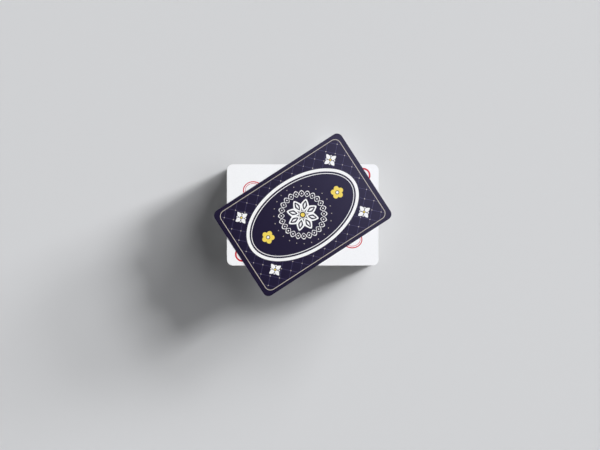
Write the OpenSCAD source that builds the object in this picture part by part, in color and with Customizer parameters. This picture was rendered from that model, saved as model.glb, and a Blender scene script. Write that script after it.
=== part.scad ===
// A pack of playing cards lying on a table: the cards are squared up face up,
// and the top card is turned over and swivelled about the middle of the pack.
// The origin is under the middle of the pack, on the table. +X runs along the
// long side of the squared cards and +Z points up.

/* [Card] */
// Length of a card's long side
card_length = 90; // [80:1:110]
// Length of a card's short side
card_width = 60; // [50:1:75]
// Thickness of each of the two paper plies that are glued back to back
ply_thickness = 0.15; // [0.10:0.01:0.25]
// Radius of a card's four corners
corner_radius = 3.5; // [2:0.5:8]

/* [Pack] */
// Air left between one card and the next
air_gap = 0.02; // [0.01:0.01:0.05]
// Farthest that a card lies off the middle of the pack after squaring by hand
slip = 0.2; // [0:0.05:0.5]

/* [Turned card] */
// Angle between the long sides of the turned card and of the pack
turn_angle = 33; // [0:1:90]

/* [Colours] */
// Colour of a card's printed face
face_colour = "#f3f4f6"; // [#f3f4f6, #ffffff, #f4ecd8]
// Colour of a card's printed back
back_colour = "#2a2640"; // [#2a2640, #7a1420, #14502e]

/* [Hidden] */
$fn = 64;

RANKS = ["ace", "two", "three", "four", "five", "six", "seven", "eight", "nine", "ten", "jack", "queen", "king"];
SUITS = ["spades", "hearts", "diamonds", "clubs"];
JOKERS = ["red_joker", "black_joker"];

// The pack as it is sorted when new, suit by suit
sorted_pack = concat([for (suit = SUITS) for (rank = RANKS) str(rank, "_of_", suit)], JOKERS);
card_count = len(sorted_pack);
top_level = card_count - 1;

// A shuffled order: each next card lies this many places further on in the
// sorted pack. The step shares no factor with the count, so none is missed.
shuffle_step = 37;

// Height of a card's underside, counted in cards from the table
card_pitch = 2 * ply_thickness + air_gap;

// The slips follow two unrelated turns, so that they look random
slip_turn_x = 137.5;
slip_turn_y = 222.5;

// The bottom card and the pack's own top card lie true, the rest slip a little
function lies_true(level) = level == 0 || level == top_level - 1;
function slip_at(level) =
    lies_true(level) ? [0, 0] : slip * [sin(slip_turn_x * level), cos(slip_turn_y * level)];

// Outline of a card: a rectangle with round corners, as true arcs
module card_outline() {
    square([card_length - 2 * corner_radius, card_width], center = true);
    square([card_length, card_width - 2 * corner_radius], center = true);
    for (x = [-1, 1], y = [-1, 1])
        translate([x * (card_length / 2 - corner_radius), y * (card_width / 2 - corner_radius)])
            circle(corner_radius);
}

// One paper ply of a card
module ply() {
    linear_extrude(ply_thickness) card_outline();
}

// One card: two plies glued into a single sheet, the upper ply in top_colour
module card(top_colour, under_colour) {
    color(under_colour) ply();
    color(top_colour) translate([0, 0, ply_thickness]) ply();
}

// A card of the squared pack, face up
module pack_card(level) {
    shift = slip_at(level);
    translate([shift.x, shift.y, level * card_pitch]) card(face_colour, back_colour);
}

// The card on top, back up and swivelled about the middle of the pack
module turned_card() {
    translate([0, 0, top_level * card_pitch]) rotate(turn_angle) card(back_colour, face_colour);
}

for (level = [0:top_level - 1])
    pack_card(level);
turned_card();
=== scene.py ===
# %% [markdown]
# # A pack of playing cards
# A pack is nothing but its cards: sheets of coated paper, printed on both sides, varnished, and die cut
# with round corners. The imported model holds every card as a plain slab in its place. This lesson turns
# each slab into a printed card and lights the pack as on a photographer's table.

# %% Load the frame
import math

import bmesh
import bpy
from mathutils import Matrix, Vector
from mathutils.geometry import delaunay_2d_cdt


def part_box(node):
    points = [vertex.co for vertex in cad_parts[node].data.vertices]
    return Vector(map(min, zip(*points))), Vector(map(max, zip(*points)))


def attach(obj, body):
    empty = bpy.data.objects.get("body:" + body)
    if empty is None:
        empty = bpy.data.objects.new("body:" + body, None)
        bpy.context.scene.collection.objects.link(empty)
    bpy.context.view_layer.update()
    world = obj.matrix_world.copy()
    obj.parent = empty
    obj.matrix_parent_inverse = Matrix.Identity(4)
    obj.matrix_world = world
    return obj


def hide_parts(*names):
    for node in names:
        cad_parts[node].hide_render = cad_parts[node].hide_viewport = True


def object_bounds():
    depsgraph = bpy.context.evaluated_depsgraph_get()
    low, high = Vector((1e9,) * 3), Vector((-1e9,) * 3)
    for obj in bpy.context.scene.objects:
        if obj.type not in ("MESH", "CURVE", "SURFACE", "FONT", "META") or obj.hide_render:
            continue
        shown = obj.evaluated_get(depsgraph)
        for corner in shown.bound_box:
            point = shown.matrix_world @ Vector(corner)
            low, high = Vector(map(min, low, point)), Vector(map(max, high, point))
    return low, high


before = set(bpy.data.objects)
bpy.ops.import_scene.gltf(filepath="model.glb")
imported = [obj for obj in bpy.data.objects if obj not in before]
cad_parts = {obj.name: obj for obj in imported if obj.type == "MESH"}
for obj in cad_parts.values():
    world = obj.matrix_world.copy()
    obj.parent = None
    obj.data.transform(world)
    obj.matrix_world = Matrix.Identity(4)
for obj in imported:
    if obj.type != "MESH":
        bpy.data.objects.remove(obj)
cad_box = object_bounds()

print("cards in the frame:", len(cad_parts))

# %% [markdown]
# ## Measure the cards
# Print is laid out in millimetres, as a printer does it, and becomes metres when a card is put in its
# place. A card's length, width and thickness are read from the frame, so the looks follow the model.
# The turned card lies askew, so of all the cards it has the deepest box seen from above.

# %% Measure the cards
MM = 0.001
CORNER_RADIUS = 3.5
TURN_ANGLE = math.radians(33)


def size_in_mm(node):
    low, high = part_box(node)
    return [round(side / MM, 3) for side in high - low]


card_names = list(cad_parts)
turned_name = max(card_names, key=lambda name: size_in_mm(name)[1])
bottom_name = min(card_names, key=lambda name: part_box(name)[0].z)
CARD_LENGTH, CARD_WIDTH, CARD_THICKNESS = size_in_mm(bottom_name)
print("a card measures", CARD_LENGTH, "x", CARD_WIDTH, "x", CARD_THICKNESS, "mm; turned:", turned_name)

# %% [markdown]
# ## Helpers for colour and materials
# A colour picker shows sRGB values, while the renderer adds up light, so every hex colour is made linear
# once, here. Shader nodes can be placed by hand in the editor; one small function does the same in code:
# it adds a node, sets its sockets and properties by name, and links its inputs.

# %% Colour and node helpers
NAVY = "#160c2d"


def linear(hex_colour):
    channels = [int(hex_colour[i:i + 2], 16) / 255 for i in (1, 3, 5)]
    return [c / 12.92 if c <= 0.04045 else ((c + 0.055) / 1.055) ** 2.4 for c in channels] + [1.0]


def add_node(tree, kind, settings=None, links=None):
    node = tree.nodes.new(kind)
    for name, value in (settings or {}).items():
        if name in node.inputs:
            node.inputs[name].default_value = value
        else:
            setattr(node, name, value)
    for name, socket in (links or {}).items():
        tree.links.new(socket, node.inputs[name])
    return node


def new_material(name):
    material = bpy.data.materials.new(name)
    material.use_nodes = True
    material.node_tree.nodes.clear()
    return material, material.node_tree


print("navy as linear light:", [round(c, 4) for c in linear(NAVY)])

# %% [markdown]
# ## Varnished print
# Playing card stock is calendered paper, offset printed and coated with a thin water-based varnish. The
# rollers leave a fine net of shallow dimples in it, which keep a little air between the cards. The eye
# gets a satin sheen that breaks up softly, and is a touch duller where fingers have been. An image of
# such a surface would do, but procedural noise in real millimetres stays sharp at any distance.

# %% Varnished print
# The real dimples and the ink's mottle are finer, too fine to show, so both are drawn this coarse.
DIMPLE_PITCH = 0.6 * MM
DIMPLE_DEPTH = 0.004 * MM
DIMPLE_STRENGTH = 0.35
INK_GRAIN = 0.9 * MM
INK_DETAIL = 5.0
INK_TONES_FROM_TO = (0.35, 0.65)
HANDLED_PATCH = 14 * MM
HANDLED_DETAIL = 3.0
SATIN_ROUGHNESS = (0.276, 0.306)
VARNISH_IOR = 1.5


def varnished_print(name, colour, mottle):
    """Ink or bare card under satin varnish; mottle is the ink's second tone, a shade deeper."""
    material, tree = new_material(name)
    place = add_node(tree, "ShaderNodeTexCoord").outputs["Object"]
    dimples = add_node(
        tree, "ShaderNodeTexVoronoi",
        {"feature": "SMOOTH_F1", "Scale": 1 / DIMPLE_PITCH}, {"Vector": place})
    relief = add_node(
        tree, "ShaderNodeBump",
        {"Strength": DIMPLE_STRENGTH, "Distance": DIMPLE_DEPTH}, {"Height": dimples.outputs[0]})
    handled = add_node(
        tree, "ShaderNodeTexNoise",
        {"Scale": 1 / HANDLED_PATCH, "Detail": HANDLED_DETAIL}, {"Vector": place})
    sheen = add_node(
        tree, "ShaderNodeMapRange",
        {"To Min": SATIN_ROUGHNESS[0], "To Max": SATIN_ROUGHNESS[1]}, {"Value": handled.outputs[0]})
    grain = add_node(
        tree, "ShaderNodeTexNoise",
        {"Scale": 1 / INK_GRAIN, "Detail": INK_DETAIL}, {"Vector": place})
    tones = add_node(tree, "ShaderNodeValToRGB", links={"Fac": grain.outputs[0]})
    for step, position, tone in zip(tones.color_ramp.elements, INK_TONES_FROM_TO, (mottle, colour)):
        step.position = position
        step.color = linear(tone)
    shader = add_node(
        tree, "ShaderNodeBsdfPrincipled", {"IOR": VARNISH_IOR},
        {"Base Color": tones.outputs[0], "Roughness": sheen.outputs[0], "Normal": relief.outputs[0]})
    add_node(tree, "ShaderNodeOutputMaterial", links={"Surface": shader.outputs[0]})
    return material


print("varnish with dimples", round(DIMPLE_PITCH / MM, 2), "mm apart")

# %% [markdown]
# ## The cut edge
# The die shears through two paper plies and the thin dark glue between them, which keeps light from
# shining through a card. Cut paper is bare and porous, so it is matt and greyer than the coated face,
# and no two edges of a stack have quite the same tone. A noise that is long along the edge and short in
# height gives each card its own streaks.

# %% Cut paper edge
STREAK_LENGTH = 160 * MM
STREAK_HEIGHT = 0.4 * MM
STREAK_DETAIL = 2.0
STREAK_TONES_FROM_TO = (0.3, 0.7)
FIBRE_DEPTH = 0.02 * MM
FIBRE_STRENGTH = 0.3
MATT_ROUGHNESS = (0.8, 0.9)
PAPER_IOR = 1.45


def cut_paper(name, light, dark):
    material, tree = new_material(name)
    place = add_node(tree, "ShaderNodeTexCoord").outputs["Object"]
    stretched = add_node(
        tree, "ShaderNodeMapping",
        {"Scale": (1 / STREAK_LENGTH, 1 / STREAK_LENGTH, 1 / STREAK_HEIGHT)}, {"Vector": place})
    streaks = add_node(
        tree, "ShaderNodeTexNoise",
        {"Scale": 1.0, "Detail": STREAK_DETAIL}, {"Vector": stretched.outputs[0]})
    tones = add_node(tree, "ShaderNodeValToRGB", links={"Fac": streaks.outputs[0]})
    for step, position, tone in zip(tones.color_ramp.elements, STREAK_TONES_FROM_TO, (dark, light)):
        step.position = position
        step.color = linear(tone)
    fibres = add_node(
        tree, "ShaderNodeBump",
        {"Strength": FIBRE_STRENGTH, "Distance": FIBRE_DEPTH}, {"Height": streaks.outputs[0]})
    matt = add_node(
        tree, "ShaderNodeMapRange",
        {"To Min": MATT_ROUGHNESS[0], "To Max": MATT_ROUGHNESS[1]}, {"Value": streaks.outputs[0]})
    shader = add_node(
        tree, "ShaderNodeBsdfPrincipled", {"IOR": PAPER_IOR},
        {"Base Color": tones.outputs[0], "Roughness": matt.outputs[0], "Normal": fibres.outputs[0]})
    add_node(tree, "ShaderNodeOutputMaterial", links={"Surface": shader.outputs[0]})
    return material


print("cut paper with streaks", round(STREAK_HEIGHT / MM, 2), "mm high")

# %% [markdown]
# ## The inks of the pack
# Offset ink is a very thin film, so paper fibres and the blanket leave a faint mottle in it: each ink
# has a second tone, a shade deeper. A pack is printed with few inks, and bare card serves as white.

# %% The inks of the pack
INKS = {
    # cool, even white with a soft sheen
    "face": varnished_print("varnished_white_card", "#f7f8fa", "#f4f5f7"),
    # violet navy, so dark that what the eye sees is half the varnish and its cool bloom
    "navy": varnished_print("navy_offset_ink", NAVY, "#130a29"),
    # slate that reads as a ghost of the ground
    "trellis": varnished_print("slate_offset_ink", "#4a4568", "#454063"),
    # warm, chalky tone for hairlines and dots
    "cream": varnished_print("cream_offset_ink", "#cac3b5", "#c5beb0"),
    # the card itself, left unprinted in the navy
    "bare": varnished_print("bare_varnished_card", "#f9f9f9", "#f6f6f6"),
    # clear, sunny accent
    "yellow": varnished_print("yellow_offset_ink", "#f4da5e", "#f0d558"),
    # bright suit red
    "red": varnished_print("red_offset_ink", "#cf1f2e", "#ca1b2a"),
    # suit black, a little soft
    "black": varnished_print("black_offset_ink", "#17161a", "#141317"),
    # off-white, matt, with a tone of its own for every few cards
    "edge": cut_paper("cut_card_edge", "#efeeea", "#cfcdc9"),
    # dull grey hairline in every edge
    "core": cut_paper("dark_core_glue", "#6e6e74", "#58585e"),
}
INK_NAMES = list(INKS)
print("inks and papers:", ", ".join(INK_NAMES))

# %% [markdown]
# ## A printing plate
# Print has no thickness to speak of. Decals that float over the paper would flicker in a viewer, so each
# printed side is one flat sheet that is cut along the outlines of its print, as in marquetry. Every
# motif is drawn as flat faces with bmesh operators and stamped on a plate in order. The press then cuts
# one sheet along all the outlines, with the triangulation that Blender's own tools use, and gives each
# piece the ink of the last motif that covers it.

# %% Stamp and press
CUT_TOLERANCE = 1e-5
SMALLEST_CUT = 1e-4
SAME_LINE = math.radians(0.2)


def stamp(plate, ink, drawing, place=Matrix()):
    bmesh.ops.transform(drawing, matrix=place, verts=drawing.verts)
    drawing.normal_update()
    for face in drawing.faces:
        if face.normal.z < 0:
            face.normal_flip()
        if face.calc_area() > SMALLEST_CUT:
            plate.append((INK_NAMES.index(ink), [corner.co.xy.copy() for corner in face.verts]))
    drawing.free()


def press(plate):
    points = []
    outlines = []
    for ink, outline in plate:
        outlines.append(list(range(len(points), len(points) + len(outline))))
        points += outline
    corners, _, pieces, _, _, covers = delaunay_2d_cdt(points, [], outlines, 1, CUT_TOLERANCE)
    sheet = bmesh.new()
    verts = [sheet.verts.new((corner.x, corner.y, 0)) for corner in corners]
    for piece, cover in zip(pieces, covers):
        face = sheet.faces.new([verts[i] for i in piece])
        face.material_index = plate[max(cover)][0]
    sheet.normal_update()
    bmesh.ops.dissolve_limit(
        sheet, angle_limit=SAME_LINE, verts=sheet.verts, edges=sheet.edges, delimit={"MATERIAL"})
    bmesh.ops.triangulate(sheet, faces=sheet.faces)
    return sheet


print("the press cuts to", CUT_TOLERANCE, "mm")

# %% [markdown]
# ## Simple outlines
# Most motifs grow from a capped circle or a single quad. A rounded rectangle is a quad whose corners are
# bevelled, a ring is one short edge that is spun round, and a line drawn along an outline is what is
# left between the outline and its inset copy.

# %% Straight and round outlines
def bar(length, width):
    drawing = bmesh.new()
    bmesh.ops.create_grid(drawing, x_segments=1, y_segments=1, size=0.5)
    bmesh.ops.scale(drawing, vec=(length, width, 1), verts=drawing.verts)
    return drawing


def rounded_rectangle(length, width, radius, segments=10):
    drawing = bar(length, width)
    bmesh.ops.bevel(
        drawing, geom=drawing.verts[:], offset=radius, affect="VERTICES",
        segments=segments, profile=0.5, material=-1)
    return drawing


def disc(radius, segments=24):
    drawing = bmesh.new()
    bmesh.ops.create_circle(drawing, cap_ends=True, radius=radius, segments=segments)
    return drawing


def oval(length, width, segments=96):
    drawing = disc(0.5, segments)
    bmesh.ops.scale(drawing, vec=(length, width, 1), verts=drawing.verts)
    return drawing


def lozenge(length, width):
    return oval(length, width, segments=4)


def petal(length, width):
    """An oval that narrows to a point at both ends."""
    drawing = disc(0.5)
    for corner in drawing.verts:
        corner.co.y *= 1 - abs(corner.co.x)
    bmesh.ops.scale(drawing, vec=(length, width, 1), verts=drawing.verts)
    return drawing


# %% Rings and inset outlines
FULL_TURN = 2 * math.pi


def ring(radius, width, segments=64):
    drawing = bmesh.new()
    inner = drawing.verts.new((radius - width / 2, 0, 0))
    outer = drawing.verts.new((radius + width / 2, 0, 0))
    edge = drawing.edges.new((inner, outer))
    bmesh.ops.spin(
        drawing, geom=[inner, outer, edge], axis=(0, 0, 1), cent=(0, 0, 0),
        angle=FULL_TURN, steps=segments, use_merge=True)
    return drawing


def ring_of(drawing, width):
    """The band of a given width just inside a drawing's outline."""
    rim = bmesh.ops.inset_region(
        drawing, faces=drawing.faces[:], thickness=width, use_boundary=True, use_even_offset=True)["faces"]
    middle = [face for face in drawing.faces if face not in rim]
    bmesh.ops.delete(drawing, geom=middle, context="FACES_ONLY")
    return drawing


def drawn_in(drawing, margin):
    """A copy of a flat drawing, each of its outlines moved in by a margin."""
    copy = drawing.copy()
    if margin:
        rim = bmesh.ops.inset_region(
            copy, faces=copy.faces[:], thickness=margin, use_boundary=True, use_even_offset=True)
        bmesh.ops.delete(copy, geom=rim["faces"], context="FACES")
    return copy


# %% Places on a card
def at(x, y, turn=0.0):
    """A place on a card, as the matrix that turns a drawing and then moves it there."""
    return Matrix.Translation((x, y, 0)) @ Matrix.Rotation(turn, 4, "Z")


def places_round(count, radius, middle=Matrix(), start=0.0):
    """Places on a ring, each turned outwards; start is the first one's share of a step."""
    return [middle @ at(0, 0, FULL_TURN * (step + start) / count) @ at(radius, 0) for step in range(count)]


BOTH_ENDS = (at(0, 0), at(0, 0, math.pi))
print("a card is the same at", len(BOTH_ENDS), "ends")

# %% [markdown]
# ## The back
# A back has to look the same both ways up, and it hides marks, so it is covered with pattern to a border
# line near the edge. This one has a faint trellis with a dot at each crossing, a bold oval frame, a
# rosette with an interlaced ring in the middle, and small flowers. All cards share it.

# %% Layout of the back
BORDER_INSET = (2.75, 2.2)
BORDER_LINE = 0.35
BORDER_RADIUS = 3.8
BORDER_LENGTH = CARD_LENGTH - 2 * BORDER_INSET[0]
BORDER_WIDTH = CARD_WIDTH - 2 * BORDER_INSET[1]
FIELD_LENGTH = BORDER_LENGTH - BORDER_LINE
FIELD_WIDTH = BORDER_WIDTH - BORDER_LINE
# what x and y add up to in the middle of a round corner
FIELD_CORNER = (FIELD_LENGTH + FIELD_WIDTH) / 2 - (2 - math.sqrt(2)) * BORDER_RADIUS
print("trellis field:", round(FIELD_LENGTH, 2), "x", round(FIELD_WIDTH, 2), "mm")

# %% [markdown]
# ### Trellis
# The faint net behind everything makes a back read as a back. A repeating texture would be cut off
# anywhere at the border. Here each line is one long bar that cutting planes trim to the border line, and
# a dot sits wherever two lines cross.

# %% Trellis
TRELLIS_STEP = 8.0
TRELLIS_SLOPE = math.radians(45)
TRELLIS_LINE = 0.2
TRELLIS_DOT = 0.32


def trimmed_to_field(drawing):
    """Cut a drawing along the four sides of the border line and across its four round corners."""
    cuts = [((1, 0, 0), FIELD_LENGTH / 2), ((0, 1, 0), FIELD_WIDTH / 2)]
    cuts += [((0.5, 0.5, 0), FIELD_CORNER), ((0.5, -0.5, 0), FIELD_CORNER)]
    for normal, reach in cuts:
        for side in (-1, 1):
            bmesh.ops.bisect_plane(
                drawing, geom=drawing.verts[:] + drawing.edges[:] + drawing.faces[:],
                plane_co=Vector(normal) * side * reach, plane_no=Vector(normal) * side, clear_outer=True)
    return drawing


def stamp_trellis(plate):
    lines = math.ceil((FIELD_LENGTH + FIELD_WIDTH / math.tan(TRELLIS_SLOPE)) / 2 / TRELLIS_STEP)
    for lean in (-1, 1):
        for line in range(-lines, lines + 1):
            drawing = bar(2 * FIELD_LENGTH, TRELLIS_LINE)
            slant = at(line * TRELLIS_STEP, 0, lean * TRELLIS_SLOPE)
            bmesh.ops.transform(drawing, matrix=slant, verts=drawing.verts)
            stamp(plate, "trellis", trimmed_to_field(drawing))
    dots = 0
    for across in range(-2 * lines, 2 * lines + 1):
        for up in range(-2 * lines, 2 * lines + 1):
            x = across * TRELLIS_STEP / 2
            y = up * TRELLIS_STEP / 2 * math.tan(TRELLIS_SLOPE)
            inside = abs(x) < FIELD_LENGTH / 2 and abs(y) < FIELD_WIDTH / 2
            if inside and (across + up) % 2 == 0:
                stamp(plate, "cream", disc(TRELLIS_DOT, segments=6), at(x, y))
                dots += 1
    print("trellis of", 4 * lines + 2, "lines with", dots, "dots")


# %% [markdown]
# ### Oval frame
# The frame is one oval, stamped four times in two inks, and each time drawn in a little further. What a
# stamp leaves uncovered of the one before it is a band, so no band needs an outline of its own.

# %% Oval frame
OVAL = (74.0, 45.0)
OVAL_BANDS = (("bare", 0.0), ("navy", 1.8), ("bare", 2.8), ("navy", 3.2))


def stamp_oval(plate):
    outline = oval(*OVAL)
    for ink, margin in OVAL_BANDS:
        stamp(plate, ink, drawn_in(outline, margin))
    outline.free()
    print("oval frame of", len(OVAL_BANDS), "bands")


# %% [markdown]
# ### Rosette
# The rope is two rings that swing in and out in opposite step, so they seem to twist round each other. A
# spun ring has its points in order already, and a cosine of each point's angle is all that it needs. A
# petal is an oval narrowed to a point, stamped in three sizes on top of each other.

# %% Rosette
ROPE_RADIUS = 12.7
ROPE_SWING = 1.7
ROPE_LOOPS = 12
ROPE_LINE = 0.5
ROPE_STEPS_PER_LOOP = 18
ROPE_EYE = 0.42
DOT_RING = 17.2
DOT = 0.3
PETALS = 8
PETAL_RING = 5.9
PETAL_LAYERS = (("bare", 7.6, 5.2), ("navy", 5.4, 3.0), ("bare", 3.4, 1.2))
HUB = 2.5
HUB_RING = 2.1
HUB_LINE = 0.45
HUB_SEED = 1.2


def rope_strand(phase):
    drawing = ring(ROPE_RADIUS, ROPE_LINE, segments=ROPE_STEPS_PER_LOOP * ROPE_LOOPS)
    for corner in drawing.verts:
        angle = math.atan2(corner.co.y, corner.co.x)
        corner.co *= 1 + ROPE_SWING / ROPE_RADIUS * math.cos(ROPE_LOOPS * angle + phase)
    return drawing


def stamp_rosette(plate):
    for phase in (0, math.pi):
        stamp(plate, "bare", rope_strand(phase))
    eyes = places_round(2 * ROPE_LOOPS, ROPE_RADIUS)
    dots = places_round(2 * ROPE_LOOPS, DOT_RING)
    for eye_place, dot_place in zip(eyes, dots):
        stamp(plate, "bare", disc(ROPE_EYE, segments=8), eye_place)
        stamp(plate, "cream", disc(DOT, segments=6), dot_place)
    for place in places_round(PETALS, PETAL_RING):
        for ink, length, width in PETAL_LAYERS:
            stamp(plate, ink, petal(length, width), place)
    stamp(plate, "navy", disc(HUB))
    stamp(plate, "bare", ring(HUB_RING, HUB_LINE, segments=32))
    stamp(plate, "yellow", disc(HUB_SEED, segments=20))
    print("rosette of", PETALS, "petals in a ring of", len(eyes), "eyes")


# %% [markdown]
# ### Flowers
# Small flowers fill the corners and the ends of the oval. They are petals, beads and discs on rings of
# places, so the helper that gives the places serves them all.

# %% Four-petalled flower
FLOWER_PLACE = (31.5, 18.4)
FLOWER_PETALS = 4
FLOWER_PETAL = (4.0, 2.6)
FLOWER_PETAL_RING = 2.1
FLOWER_BEAD = 0.42
FLOWER_BEAD_RING = 2.5
FLOWER_EYE = 0.9
FLOWER_SEED = 0.55


def stamp_flower(plate, middle):
    for place in places_round(FLOWER_PETALS, FLOWER_PETAL_RING, middle):
        stamp(plate, "bare", petal(*FLOWER_PETAL), place)
    for place in places_round(FLOWER_PETALS, FLOWER_BEAD_RING, middle, start=0.5):
        stamp(plate, "bare", disc(FLOWER_BEAD, segments=8), place)
    stamp(plate, "navy", disc(FLOWER_EYE, segments=12), middle)
    stamp(plate, "yellow", disc(FLOWER_SEED, segments=12), middle)


# %% Buttercup
BUTTERCUP_PLACE = 24.5
BUTTERCUP_PETALS = 5
BUTTERCUP_PETAL = 1.55
BUTTERCUP_PETAL_RING = 2.3
BUTTERCUP_MIDDLE = 2.0
BUTTERCUP_EYE = 1.2
BUTTERCUP_SEED = 0.8


def stamp_buttercup(plate, middle):
    for place in places_round(BUTTERCUP_PETALS, BUTTERCUP_PETAL_RING, middle):
        stamp(plate, "yellow", disc(BUTTERCUP_PETAL), place)
    stamp(plate, "yellow", disc(BUTTERCUP_MIDDLE), middle)
    stamp(plate, "navy", disc(BUTTERCUP_EYE, segments=16), middle)
    stamp(plate, "bare", disc(BUTTERCUP_SEED, segments=12), middle)


# %% [markdown]
# ### Press the back
# A plate is stamped from the ground up, and what comes later covers what is there. All cards share the
# back, so it is pressed once and kept as a mesh.

# %% Press the back
def back_plate():
    plate = []
    stamp(plate, "navy", rounded_rectangle(CARD_LENGTH, CARD_WIDTH, CORNER_RADIUS))
    stamp_trellis(plate)
    border = rounded_rectangle(BORDER_LENGTH, BORDER_WIDTH, BORDER_RADIUS)
    stamp(plate, "cream", ring_of(border, BORDER_LINE))
    stamp_oval(plate)
    stamp_rosette(plate)
    for end in BOTH_ENDS:
        stamp_buttercup(plate, end @ at(BUTTERCUP_PLACE, 0))
        for side in (-1, 1):
            stamp_flower(plate, end @ at(FLOWER_PLACE[0], side * FLOWER_PLACE[1]))
    return plate


back_sheet = press(back_plate())
back_mesh = bpy.data.meshes.new("back_print")
back_sheet.to_mesh(back_mesh)
back_sheet.free()
print("the back is cut into", len(back_mesh.polygons), "pieces")

# %% [markdown]
# ## Suit signs
# Every sign is put together from a few plain outlines that overlap, and a pass through the press joins
# them into one. A diamond is a lozenge whose sides are drawn in a little. A heart is a square on its
# point with two discs, a spade is that heart upside down on a stem, and a club is three discs on a stem.
# Each outline is drawn one unit tall, made ten millimetres tall, and copied to size wherever it is
# printed.

# %% Diamond and heart
DIAMOND_WIDTH = 0.8
DIAMOND_HOLLOW = 0.24
HEART_WIDTH = 0.86


def diamond():
    drawing = lozenge(DIAMOND_WIDTH, 1.0)
    bmesh.ops.subdivide_edges(drawing, edges=drawing.edges[:], cuts=3)
    for corner in drawing.verts:
        along = abs(corner.co.y) * 2
        corner.co *= 1 - DIAMOND_HOLLOW * along * (1 - along)
    return drawing


def heart():
    drawing = lozenge(1.0, 1.0)
    # each lobe is centred on one of the square's two upper sides, and as wide as the side is long
    lobe = math.sqrt(0.5) / 2
    for x in (-0.25, 0.25):
        bmesh.ops.create_circle(drawing, cap_ends=True, radius=lobe, segments=32, matrix=at(x, 0.25))
    tall = 0.75 + lobe
    bmesh.ops.translate(drawing, vec=(0, (1 - tall) / 2, 0), verts=drawing.verts)
    bmesh.ops.scale(drawing, vec=(HEART_WIDTH / tall, 1 / tall, 1), verts=drawing.verts)
    return drawing


# %% Spade and club
STEM_WIDTH = 0.34
STEM_FOOT = -0.5
SPADE_STEM_TOP = 0.15
SPADE_SIZE = 0.84
SPADE_LIFT = 0.08
CLUB_STEM_TOP = 0.2
CLUB_DISC = 0.245
CLUB_DISC_PLACES = ((0, 0.255), (-0.25, -0.12), (0.25, -0.12))
CLUB_MIDDLE = 0.12


def add_stem(drawing, top):
    """Add a narrow triangle that stands on its foot."""
    stem = bmesh.ops.create_circle(drawing, cap_ends=True, radius=1.0, segments=3)["verts"]
    for corner in stem:
        is_foot = abs(corner.co.x) > STEM_WIDTH / 2
        corner.co.x = math.copysign(STEM_WIDTH / 2, corner.co.x) if is_foot else 0
        corner.co.y = STEM_FOOT if is_foot else top
    return drawing


def spade():
    drawing = heart()
    upside_down = at(0, SPADE_LIFT, math.pi) @ Matrix.Scale(SPADE_SIZE, 4)
    bmesh.ops.transform(drawing, matrix=upside_down, verts=drawing.verts)
    return add_stem(drawing, SPADE_STEM_TOP)


def club():
    drawing = disc(CLUB_MIDDLE, segments=12)
    for x, y in CLUB_DISC_PLACES:
        bmesh.ops.create_circle(drawing, cap_ends=True, radius=CLUB_DISC, segments=32, matrix=at(x, y))
    return add_stem(drawing, CLUB_STEM_TOP)


# %% Star
STAR_POINTS = 5
STAR_HOLLOW = 0.42


def star():
    drawing = disc(0.5, segments=2 * STAR_POINTS)
    for corner in drawing.verts:
        step = round(math.atan2(corner.co.x, corner.co.y) / FULL_TURN * 2 * STAR_POINTS)
        corner.co *= STAR_HOLLOW if step % 2 else 1
    return drawing


# %% Join the outlines
SIGN_UNIT = 10.0
SAME_CORNER = 1e-3


def joined(drawing):
    """A single outline round all the faces of a drawing that overlap."""
    plate = []
    stamp(plate, "face", drawing)
    outline = press(plate)
    bmesh.ops.dissolve_faces(outline, faces=outline.faces[:])
    bmesh.ops.remove_doubles(outline, verts=outline.verts, dist=SAME_CORNER)
    bmesh.ops.scale(outline, vec=(SIGN_UNIT, SIGN_UNIT, 1), verts=outline.verts)
    return outline


SIGN_OUTLINES = {
    "spades": joined(spade()),
    "hearts": joined(heart()),
    "diamonds": joined(diamond()),
    "clubs": joined(club()),
    "joker": joined(star()),
}


def sign(name, height):
    drawing = SIGN_OUTLINES[name].copy()
    bmesh.ops.scale(drawing, vec=(height / SIGN_UNIT, height / SIGN_UNIT, 1), verts=drawing.verts)
    return drawing


for name, outline in SIGN_OUTLINES.items():
    print("sign of", name, "has", len(outline.verts), "corners and", len(outline.faces), "face")

# %% [markdown]
# ## Faces
# A face carries its number or letter and a small sign in two corners, the same both ways up. The large
# signs are line drawings: a thin outline, on tall signs with a second, finer line inside it, round a
# small solid sign. Numerals come from Blender's own font, made into flat faces.

# %% Numbers and letters
def glyphs(text, height, widest):
    curve = bpy.data.curves.new("index", "FONT")
    curve.body = text
    curve.resolution_u = 4
    holder = bpy.data.objects.new("index", curve)
    mesh = bpy.data.meshes.new_from_object(holder)
    drawing = bmesh.new()
    drawing.from_mesh(mesh)
    low = Vector([min(v.co[axis] for v in drawing.verts) for axis in range(3)])
    high = Vector([max(v.co[axis] for v in drawing.verts) for axis in range(3)])
    size = high - low
    bmesh.ops.translate(drawing, vec=-(low + high) / 2, verts=drawing.verts)
    width = min(size.x * height / size.y, widest)
    bmesh.ops.scale(drawing, vec=(width / size.x, height / size.y, 1), verts=drawing.verts)
    bpy.data.meshes.remove(mesh)
    bpy.data.objects.remove(holder)
    bpy.data.curves.remove(curve)
    return drawing


# %% Large signs
OUTLINE = 0.6
FINE_LINE = 0.3
FINE_LINE_ABOVE = 18.0
FINE_GAP_SHARE = 0.03
CORE_SHARE = 0.36


def stamp_sign(plate, name, ink, height, place):
    outline = sign(name, height)
    layers = [(ink, 0.0), ("face", OUTLINE)]
    if height > FINE_LINE_ABOVE:
        fine = OUTLINE + FINE_GAP_SHARE * height
        layers += [(ink, fine), ("face", fine + FINE_LINE)]
    for layer_ink, margin in layers:
        stamp(plate, layer_ink, drawn_in(outline, margin), place)
    outline.free()
    stamp(plate, ink, sign(name, height * CORE_SHARE), place)


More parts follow.
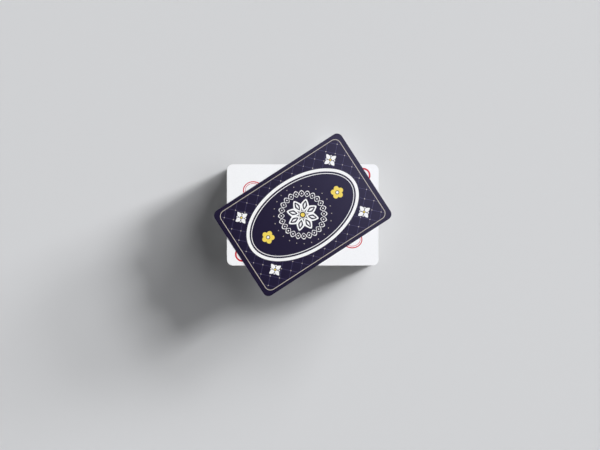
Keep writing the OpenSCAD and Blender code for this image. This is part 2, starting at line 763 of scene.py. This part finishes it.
# %% [markdown]
# ### Corner indices
# A player holds cards in a fan, so each tells its rank and suit in a corner. The number sits in a ring,
# with a small sign below it. A joker has no rank, so its ring holds a star.

# %% Corner indices
INDEX_PLACE = (-23.5, 35.9)
INDEX_RING = 3.9
INDEX_LINE = 1.0
INDEX_HEIGHT = 4.2
INDEX_WIDEST = 4.4
INDEX_SIGN = 4.6
INDEX_SIGN_PLACE = (-23.5, 27.6)
INDEX_STAR = 5.2


def stamp_indices(plate, text, name, ink):
    for end in BOTH_ENDS:
        badge = end @ at(*INDEX_PLACE)
        stamp(plate, ink, ring(INDEX_RING, INDEX_LINE, segments=40), badge)
        if text:
            stamp(plate, ink, glyphs(text, INDEX_HEIGHT, INDEX_WIDEST), badge)
            stamp(plate, ink, sign(name, INDEX_SIGN), end @ at(*INDEX_SIGN_PLACE))
        else:
            stamp(plate, ink, sign(name, INDEX_STAR), badge)


# %% [markdown]
# ### Number cards
# The signs of a number card stand in two side columns and one in the middle, upside down in the lower
# half. How many stand in each column is tradition, so two small tables and a formula give all places.

# %% Number cards
RANKS = ["ace", "two", "three", "four", "five", "six", "seven", "eight", "nine", "ten"]
COLUMN = 11.0
ROW = 26.0
# the signs in each side column, and the heights of those in the middle as shares of ROW
SIDE_ROWS = {4: 2, 5: 2, 6: 3, 7: 3, 8: 3, 9: 4, 10: 4}
MIDDLE_ROWS = {
    1: [0], 2: [-1, 1], 3: [-1, 0, 1], 5: [0],
    7: [0.5], 8: [-0.5, 0.5], 9: [0], 10: [-2 / 3, 2 / 3]}
SIGN_HEIGHTS = [44.0, 22.0, 20.0, 19.0, 19.0, 16.0, 13.0, 13.0, 11.5, 11.5]


def sign_places(count):
    places = [(0, share * ROW) for share in MIDDLE_ROWS.get(count, [])]
    rows = SIDE_ROWS.get(count, 0)
    for row in range(rows):
        height = ROW * (2 * row / (rows - 1) - 1)
        places += [(-COLUMN, height), (COLUMN, height)]
    return places


def stamp_number(plate, count, suit, ink):
    for x, y in sign_places(count):
        turn = math.pi if y < 0 else 0
        stamp_sign(plate, suit, ink, SIGN_HEIGHTS[count - 1], at(x, y, turn))


print("signs on the number cards:", [len(sign_places(count + 1)) for count in range(len(RANKS))])

# %% [markdown]
# ## Court cards and jokers
# Court cards get a ruled panel with the same emblem at both ends: a shield for the jack, a flower for
# the queen and a crown for the king, with the suit's sign between them. A joker has a large star.

# %% The jack's shield
SHIELD_HEIGHT = 14.0
SHIELD_WIDTH_SHARE = 0.84
SHIELD_POST = (1.0, 12.0)
SHIELD_BEAM = (10.4, 1.0)
SHIELD_BEAM_PLACE = 1.6


def stamp_outlined(plate, ink, drawing, place):
    """A drawing in line, bare inside."""
    inside = drawn_in(drawing, OUTLINE)
    stamp(plate, ink, drawing, place)
    stamp(plate, "face", inside, place)


def shield():
    """A quad over the upper half, whose low edge is bowed down to a parabola."""
    drawing = bar(SHIELD_WIDTH_SHARE, 0.5)
    bmesh.ops.translate(drawing, vec=(0, 0.25, 0), verts=drawing.verts)
    low_edge = min(drawing.edges, key=lambda edge: edge.verts[0].co.y + edge.verts[1].co.y)
    bmesh.ops.subdivide_edges(drawing, edges=[low_edge], cuts=11)
    for corner in drawing.verts:
        if corner.co.y < 0.25:
            corner.co.y = -0.5 * (1 - (corner.co.x / (SHIELD_WIDTH_SHARE / 2)) ** 2)
    bmesh.ops.scale(drawing, vec=(SHIELD_HEIGHT, SHIELD_HEIGHT, 1), verts=drawing.verts)
    return drawing


def stamp_shield(plate, ink, place):
    stamp_outlined(plate, ink, shield(), place)
    stamp(plate, ink, bar(*SHIELD_POST), place)
    stamp(plate, ink, bar(*SHIELD_BEAM), place @ at(0, SHIELD_BEAM_PLACE))


# %% The queen's flower
BLOOM_PETALS = 6
BLOOM_RING = 4.3
BLOOM_PETAL = (8.0, 6.4)
BLOOM_PETAL_BARE = (6.4, 4.6)
BLOOM_PETAL_VEIN = (3.6, 1.6)
BLOOM_MIDDLE = 1.3


def stamp_bloom(plate, ink, middle):
    for place in places_round(BLOOM_PETALS, BLOOM_RING, middle, start=0.5):
        stamp(plate, ink, petal(*BLOOM_PETAL), place)
        stamp(plate, "face", petal(*BLOOM_PETAL_BARE), place)
        stamp(plate, ink, petal(*BLOOM_PETAL_VEIN), place)
    stamp(plate, ink, disc(BLOOM_MIDDLE), middle)


# %% The king's crown
CROWN_WIDTH = 15.0
CROWN_TIPS = 5
CROWN_TIP_SHARE = 0.42
CROWN_TIP_FALL = 0.12
CROWN_NOTCH_SHARE = 0.05
CROWN_FOOT_SHARE = -0.32
CROWN_FLARE = 1.15
CROWN_BAND = (12.6, 1.2)
CROWN_BAND_PLACE = -3.2
BALL = 0.95
BALL_STEP = 4.3
BALL_HEIGHT = 7.1
BALL_FALL = 0.9


def crown():
    """A strip of quads whose upper corners go up to the tips and down to the notches in turn."""
    steps = 2 * (CROWN_TIPS - 1)
    drawing = bmesh.new()
    bmesh.ops.create_grid(drawing, x_segments=steps, y_segments=1, size=0.5)
    for corner in drawing.verts:
        if corner.co.y > 0:
            is_tip = round((corner.co.x + 0.5) * steps) % 2 == 0
            tip = CROWN_TIP_SHARE - CROWN_TIP_FALL * abs(corner.co.x)
            corner.co.y = tip if is_tip else CROWN_NOTCH_SHARE
            corner.co.x *= CROWN_FLARE
        else:
            corner.co.y = CROWN_FOOT_SHARE
    bmesh.ops.dissolve_faces(drawing, faces=drawing.faces[:])
    bmesh.ops.scale(drawing, vec=(CROWN_WIDTH, CROWN_WIDTH, 1), verts=drawing.verts)
    return drawing


def stamp_crown(plate, ink, place):
    stamp_outlined(plate, ink, crown(), place)
    stamp(plate, ink, bar(*CROWN_BAND), place @ at(0, CROWN_BAND_PLACE))
    for tip in range(CROWN_TIPS):
        step = tip - CROWN_TIPS // 2
        ball_place = at(step * BALL_STEP, BALL_HEIGHT - BALL_FALL * abs(step))
        stamp(plate, ink, disc(BALL, segments=12), place @ ball_place)


# %% Court panel
PANEL = (35.0, 66.0)
PANEL_LINE = 0.5
PANEL_RULE = (25.2, 0.35)
PANEL_RULE_PLACE = 10.6
COURT_SIGN = 15.0
EMBLEM_PLACE = 20.5
EMBLEMS = {"jack": stamp_shield, "queen": stamp_bloom, "king": stamp_crown}
COURT_LETTERS = {"jack": "J", "queen": "Q", "king": "K"}


def stamp_court(plate, rank, suit, ink):
    panel = bar(*PANEL)
    inside = drawn_in(panel, PANEL_LINE)
    stamp(plate, ink, panel)
    stamp(plate, "face", inside)
    for end in BOTH_ENDS:
        EMBLEMS[rank](plate, ink, end @ at(0, EMBLEM_PLACE))
        stamp(plate, ink, bar(*PANEL_RULE), end @ at(0, PANEL_RULE_PLACE))
    stamp_sign(plate, suit, ink, COURT_SIGN, at(0, 0))


# %% [markdown]
# ### Lay out a face
# A card's name says all that is printed on its face: red ink for hearts and diamonds, black for the
# rest, and a number, a letter or a star.

# %% Lay out a face
JOKER_STAR = 34.0


def face_plate(name):
    plate = []
    stamp(plate, "face", rounded_rectangle(CARD_WIDTH, CARD_LENGTH, CORNER_RADIUS))
    if "joker" in name:
        ink = name.split("_")[0]
        stamp_indices(plate, "", "joker", ink)
        stamp_sign(plate, "joker", ink, JOKER_STAR, at(0, 0))
        return plate
    rank, suit = name.split("_of_")
    ink = "red" if suit in ("hearts", "diamonds") else "black"
    if rank in COURT_LETTERS:
        stamp_indices(plate, COURT_LETTERS[rank], suit, ink)
        stamp_court(plate, rank, suit, ink)
    else:
        count = RANKS.index(rank) + 1
        stamp_indices(plate, "A" if count == 1 else str(count), suit, ink)
        stamp_number(plate, count, suit, ink)
    return plate


print("outlines stamped on the bottom card's face:", len(face_plate(bottom_name)))

# %% [markdown]
# ## Make a card
# A card is the pressed face on top, the pressed back underneath, and the cut edge that bridges the two
# outlines. The die rounds both rims a little, which a small bevel gives. Faces are drawn upright, so
# they turn a quarter to lie along the card, and the back turns over to point down. The turned card does
# the same once more as a whole, about its long side, and then swivels.

# %% Build one card
RIM = 0.03
# thicker than a real film of glue, which is too fine to show
CORE = 0.04


def card_body(name):
    body = press(face_plate(name))
    upright = Matrix.Rotation(math.pi / 2, 4, "Z")
    bmesh.ops.transform(
        body, matrix=Matrix.Translation((0, 0, CARD_THICKNESS / 2)) @ upright, verts=body.verts)
    face_corners = set(body.verts)
    body.from_mesh(back_mesh)
    back_corners = [corner for corner in body.verts if corner not in face_corners]
    turned_over = Matrix.Translation((0, 0, -CARD_THICKNESS / 2)) @ Matrix.Rotation(math.pi, 4, "X")
    bmesh.ops.transform(body, matrix=turned_over, verts=back_corners)
    outlines = [edge for edge in body.edges if edge.is_boundary]
    wall = bmesh.ops.bridge_loops(body, edges=outlines)["faces"]
    for face in wall:
        face.material_index = INK_NAMES.index("edge")
        face.smooth = True
    rims = bmesh.ops.bevel(
        body, geom=outlines, offset=RIM, affect="EDGES", segments=1, profile=0.5, material=-1)["faces"]
    for face in rims:
        face.material_index = INK_NAMES.index("edge" if face.calc_center_median().z > 0 else "navy")
    for side in (-1, 1):
        bmesh.ops.bisect_plane(
            body, geom=body.verts[:] + body.edges[:] + body.faces[:],
            plane_co=(0, 0, side * CORE / 2), plane_no=(0, 0, 1))
    for face in body.faces:
        if abs(face.calc_center_median().z) < CORE / 2:
            face.material_index = INK_NAMES.index("core")
    bmesh.ops.recalc_face_normals(body, faces=body.faces)
    return body


# %% [markdown]
# ### Put a card in its place
# A card is drawn about its own middle, so one matrix takes it to where its slab lies and from
# millimetres to metres. The move goes into the mesh, and the object stays at the origin, which keeps the
# patterns of its materials still. Only the inks that a card uses become its material slots.

# %% Put a card in its place
def resting_place(name):
    low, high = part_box(name)
    place = Matrix.Translation((low + high) / 2)
    if name == turned_name:
        place = place @ Matrix.Rotation(TURN_ANGLE, 4, "Z") @ Matrix.Rotation(math.pi, 4, "X")
    return place @ Matrix.Scale(MM, 4)


def make_card(name):
    body = card_body(name)
    bmesh.ops.transform(body, matrix=resting_place(name), verts=body.verts)
    used = sorted({face.material_index for face in body.faces})
    for face in body.faces:
        face.material_index = used.index(face.material_index)
    mesh = bpy.data.meshes.new("printed_" + name)
    body.to_mesh(mesh)
    body.free()
    for ink in used:
        mesh.materials.append(INKS[INK_NAMES[ink]])
    card = bpy.data.objects.new("printed_" + name, mesh)
    bpy.context.scene.collection.objects.link(card)
    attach(card, name)
    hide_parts(name)
    return card


# %% Make the pack
cards = [make_card(name) for name in card_names]
bpy.data.meshes.remove(back_mesh)
print("made", len(cards), "cards of", sum(len(card.data.polygons) for card in cards), "faces in all")

# %% [markdown]
# ## Table and light
# The pack lies on a pale grey table. Four soft lamps at the upper right, from low to high, throw a long
# shadow to the lower left that pales as it goes. They stand far off, so that the table is lit evenly.
# Lamps that low would burn out the pack's own side, so light linking keeps them on the table, and the
# cards have a higher lamp on the same side and a fill on the other. A bluish lamp overhead, which shows
# only in the gloss, gives the varnish its cool bloom. A lamp's power is worked out from the share of
# light that it gives a level surface. With the sky's share, those that light the table add up to about
# one, and so do those that light the cards, so a colour renders about as it is written.

# %% Table
TABLE_SIDE = 8.0
TABLE_DROP = 0.05 * MM
table_material, tree = new_material("grey_table")
shader = add_node(
    tree, "ShaderNodeBsdfPrincipled", {"Base Color": linear("#d3d4d6"), "Roughness": 0.9, "IOR": 1.3})
add_node(tree, "ShaderNodeOutputMaterial", links={"Surface": shader.outputs[0]})
table_sheet = bmesh.new()
bmesh.ops.create_grid(table_sheet, x_segments=1, y_segments=1, size=TABLE_SIDE / 2)
bmesh.ops.translate(table_sheet, vec=(0, 0, -TABLE_DROP), verts=table_sheet.verts)
table_mesh = bpy.data.meshes.new("table")
table_sheet.to_mesh(table_mesh)
table_sheet.free()
table_mesh.materials.append(table_material)
table = bpy.data.objects.new("table", table_mesh)
bpy.context.scene.collection.objects.link(table)
print("table of", TABLE_SIDE, "m")

# %% Lamps
# how far off the lamps stand, in metres
FAR = 30.0
STUDIO = 12.0
OVERHEAD = 1.2
SHEEN_TINT = "#d5d4ff"


def soft_lamp(name, azimuth, elevation, distance, spread, share, lit):
    """An oblong lamp; spread gives the angles from its middle to its sides and to its top, in degrees."""
    lamp = bpy.data.lights.new(name, "AREA")
    lamp.shape = "RECTANGLE"
    lamp.size = 2 * distance * math.tan(math.radians(spread[0]))
    lamp.size_y = 2 * distance * math.tan(math.radians(spread[1]))
    lamp.energy = share * math.pi ** 2 * distance ** 2 / math.sin(math.radians(elevation))
    direction = Vector((1, 0, 0))
    direction.rotate(Matrix.Rotation(math.radians(-elevation), 3, "Y"))
    direction.rotate(Matrix.Rotation(math.radians(azimuth), 3, "Z"))
    stand = bpy.data.objects.new(name, lamp)
    stand.location = direction * distance
    stand.rotation_euler = direction.to_track_quat("Z", "Y").to_euler()
    bpy.context.scene.collection.objects.link(stand)
    stand.light_linking.receiver_collection = bpy.data.collections.new(name + "_lights")
    for piece in lit:
        stand.light_linking.receiver_collection.objects.link(piece)
    print(name, "gives", share, "of the light with", round(lamp.energy, 1), "W")
    return stand


soft_lamp("low_table_lamp", 30, 5.5, FAR, (8, 3), 0.2, [table])
soft_lamp("middle_table_lamp", 28, 14, FAR, (6, 3.7), 0.34, [table])
soft_lamp("side_table_lamp", 51, 9.5, FAR, (12, 3), 0.155, [table])
soft_lamp("high_table_lamp", 16, 36, FAR, (28, 16), 0.205, [table])
soft_lamp("card_lamp", 28, 42, STUDIO, (22, 16), 0.77, cards)
soft_lamp("fill_lamp", 235, 22, STUDIO, (20, 10), 0.23, cards)
sheen_lamp = soft_lamp("sheen_lamp", 36, 76, OVERHEAD, (8, 8), 0.108, cards)
sheen_lamp.data.color = linear(SHEEN_TINT)[:3]
sheen_lamp.visible_diffuse = False

# %% [markdown]
# ### Studio sky
# Pale walls round a table light it a little from all sides, most of all near the horizon. A ramp over
# the height of the gaze does the same: it fills the shadows and gives the varnish a soft thing to mirror.

# %% Studio sky
# heights from the horizon to straight up, and how bright the sky is there
SKY_LEVELS = ((0.0, 0.62), (0.2, 0.4), (0.5, 0.12), (1.0, 0.02))
SKY_TINT = (1.0, 1.008, 1.024)
world = bpy.data.worlds.new("studio_sky")
world.use_nodes = True
tree = world.node_tree
tree.nodes.clear()
gaze = add_node(tree, "ShaderNodeTexCoord").outputs["Generated"]
height = add_node(tree, "ShaderNodeSeparateXYZ", links={"Vector": gaze}).outputs["Z"]
glow = add_node(tree, "ShaderNodeValToRGB", links={"Fac": height})
for position, level in SKY_LEVELS[1:-1]:
    glow.color_ramp.elements.new(position)
for step, (position, level) in zip(glow.color_ramp.elements, SKY_LEVELS):
    step.position = position
    step.color = [level * tint for tint in SKY_TINT] + [1.0]
sky = add_node(tree, "ShaderNodeBackground", links={"Color": glow.outputs[0]})
add_node(tree, "ShaderNodeOutputWorld", links={"Surface": sky.outputs[0]})
bpy.context.scene.world = world
print("sky of", len(glow.color_ramp.elements), "levels")

# %% [markdown]
# ## The camera
# The photograph looks straight down. Its frame is 600 by 450 pixels, and a card's long side takes 151.5
# of them, so the width of the frame at the height of the cards follows, and from it the lens.

# %% Camera
FRAME_WIDTH_PX = 600
FRAME_HEIGHT_PX = 450
CARD_LENGTH_PX = 151.5
PACK_MIDDLE_PX = (302.7, 214.8)
CAMERA_HEIGHT = 0.7
SENSOR = 36.0

pixel = CARD_LENGTH * MM / CARD_LENGTH_PX
pack_top = cad_box[1].z
camera_data = bpy.data.cameras.new("camera")
camera_data.sensor_width = SENSOR
camera_data.lens = SENSOR * (CAMERA_HEIGHT - pack_top) / (FRAME_WIDTH_PX * pixel)
camera = bpy.data.objects.new("camera", camera_data)
camera.location = (
    (FRAME_WIDTH_PX / 2 - PACK_MIDDLE_PX[0]) * pixel,
    (PACK_MIDDLE_PX[1] - FRAME_HEIGHT_PX / 2) * pixel,
    CAMERA_HEIGHT)
bpy.context.scene.collection.objects.link(camera)
bpy.context.scene.camera = camera
bpy.context.scene.view_settings.view_transform = "Standard"
print("lens of", round(camera_data.lens, 1), "mm at", CAMERA_HEIGHT, "m")
